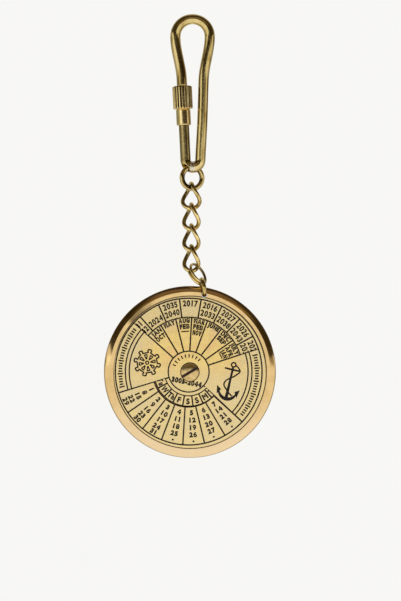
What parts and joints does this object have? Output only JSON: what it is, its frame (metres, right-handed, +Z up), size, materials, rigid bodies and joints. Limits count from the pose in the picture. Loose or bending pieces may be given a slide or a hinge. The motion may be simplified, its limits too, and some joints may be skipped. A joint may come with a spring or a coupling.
{
  "type": "keyring with calendar dial fob",
  "caption": "Brass keyring: wire shackle with a screwed lock sleeve, a curb chain and a disc fob whose front dial turns on a slotted centre screw to read a long-range calendar.",
  "frame": {"origin": "inside top of the shackle's bow, the point of the wire that a peg or hook carries, with the keyring hanging", "axes": "+X to the right of the dial's face, +Y away from whoever reads the dial, +Z up"},
  "size_m": [0.05, 0.0071, 0.129],
  "materials": {
    "wire_brass": "drawn wire, worn satin with a brown patina in the crevices",
    "sleeve_brass": "turned and knurled, semi-bright",
    "plate_brass": "polished rim, engraved and black-filled face",
    "dial_brass": "satin face, engraved and black-filled",
    "screw_brass": "turned and polished",
    "spring_steel": "thin spring steel, satin"
  },
  "bodies": {
    "shackle": {"shackle": "wire_brass"},
    "lock_sleeve": {"lock_sleeve": "sleeve_brass"},
    "jump_ring": {"jump_ring": "wire_brass"},
    "chain_link_1": {"chain_link_1": "wire_brass"},
    "chain_link_2": {"chain_link_2": "wire_brass"},
    "chain_link_3": {"chain_link_3": "wire_brass"},
    "chain_link_4": {"chain_link_4": "wire_brass"},
    "connecting_ring": {"connecting_ring": "wire_brass"},
    "bail_ring": {"bail_ring": "wire_brass"},
    "disc": {"back_plate": "plate_brass", "pivot_post": "screw_brass", "dial_spacer": "screw_brass", "spring_washer": "spring_steel", "centre_screw": "screw_brass"},
    "dial": {"dial": "dial_brass"}
  },
  "joints": [
    {"name": "lock_sleeve_slide", "type": "slide", "parent": "shackle", "child": "lock_sleeve", "axis": [0.0474, 0, -0.9989], "range_m": [0, 0.0085]},
    {"name": "jump_ring_swing", "type": "hinge", "parent": "shackle", "child": "jump_ring", "pos_m": [-0.00024, 0, -0.04154], "axis": [0.9272, 0.3746, 0], "range_deg": [-35, 35]},
    {"name": "link_1_swing", "type": "hinge", "parent": "jump_ring", "child": "chain_link_1", "pos_m": [-0.0005, 0, -0.04625], "axis": [-0.1736, 0.9848, 0], "range_deg": [-45, 45]},
    {"name": "link_2_swing", "type": "hinge", "parent": "chain_link_1", "child": "chain_link_2", "pos_m": [-0.0005, 0, -0.05358], "axis": [-0.9397, -0.342, 0], "range_deg": [-60, 60]},
    {"name": "link_3_swing", "type": "hinge", "parent": "chain_link_2", "child": "chain_link_3", "pos_m": [-0.00045, 0, -0.05836], "axis": [0.1736, -0.9848, 0], "range_deg": [-60, 60]},
    {"name": "link_4_swing", "type": "hinge", "parent": "chain_link_3", "child": "chain_link_4", "pos_m": [-0.00045, 0, -0.06569], "axis": [0.9397, 0.342, 0], "range_deg": [-60, 60]},
    {"name": "connecting_ring_swing", "type": "hinge", "parent": "chain_link_4", "child": "connecting_ring", "pos_m": [-0.00044, 0.0007, -0.06995], "axis": [0, 1, 0], "range_deg": [-60, 35]},
    {"name": "bail_ring_swing", "type": "hinge", "parent": "connecting_ring", "child": "bail_ring", "pos_m": [0.0029, 0.00027, -0.07642], "axis": [-0.9745, -0.1357, -0.1788], "range_deg": [-54, 60]},
    {"name": "disc_swing", "type": "hinge", "parent": "bail_ring", "child": "disc", "pos_m": [0.0033, 0.0003, -0.07853], "axis": [0, -1, 0], "range_deg": [-4, 40]},
    {"name": "dial_turn", "type": "hinge", "parent": "disc", "child": "dial", "pos_m": [-0.00087, -0.00076, -0.10105], "axis": [0, 1, 0], "continuous": true}
  ]
}
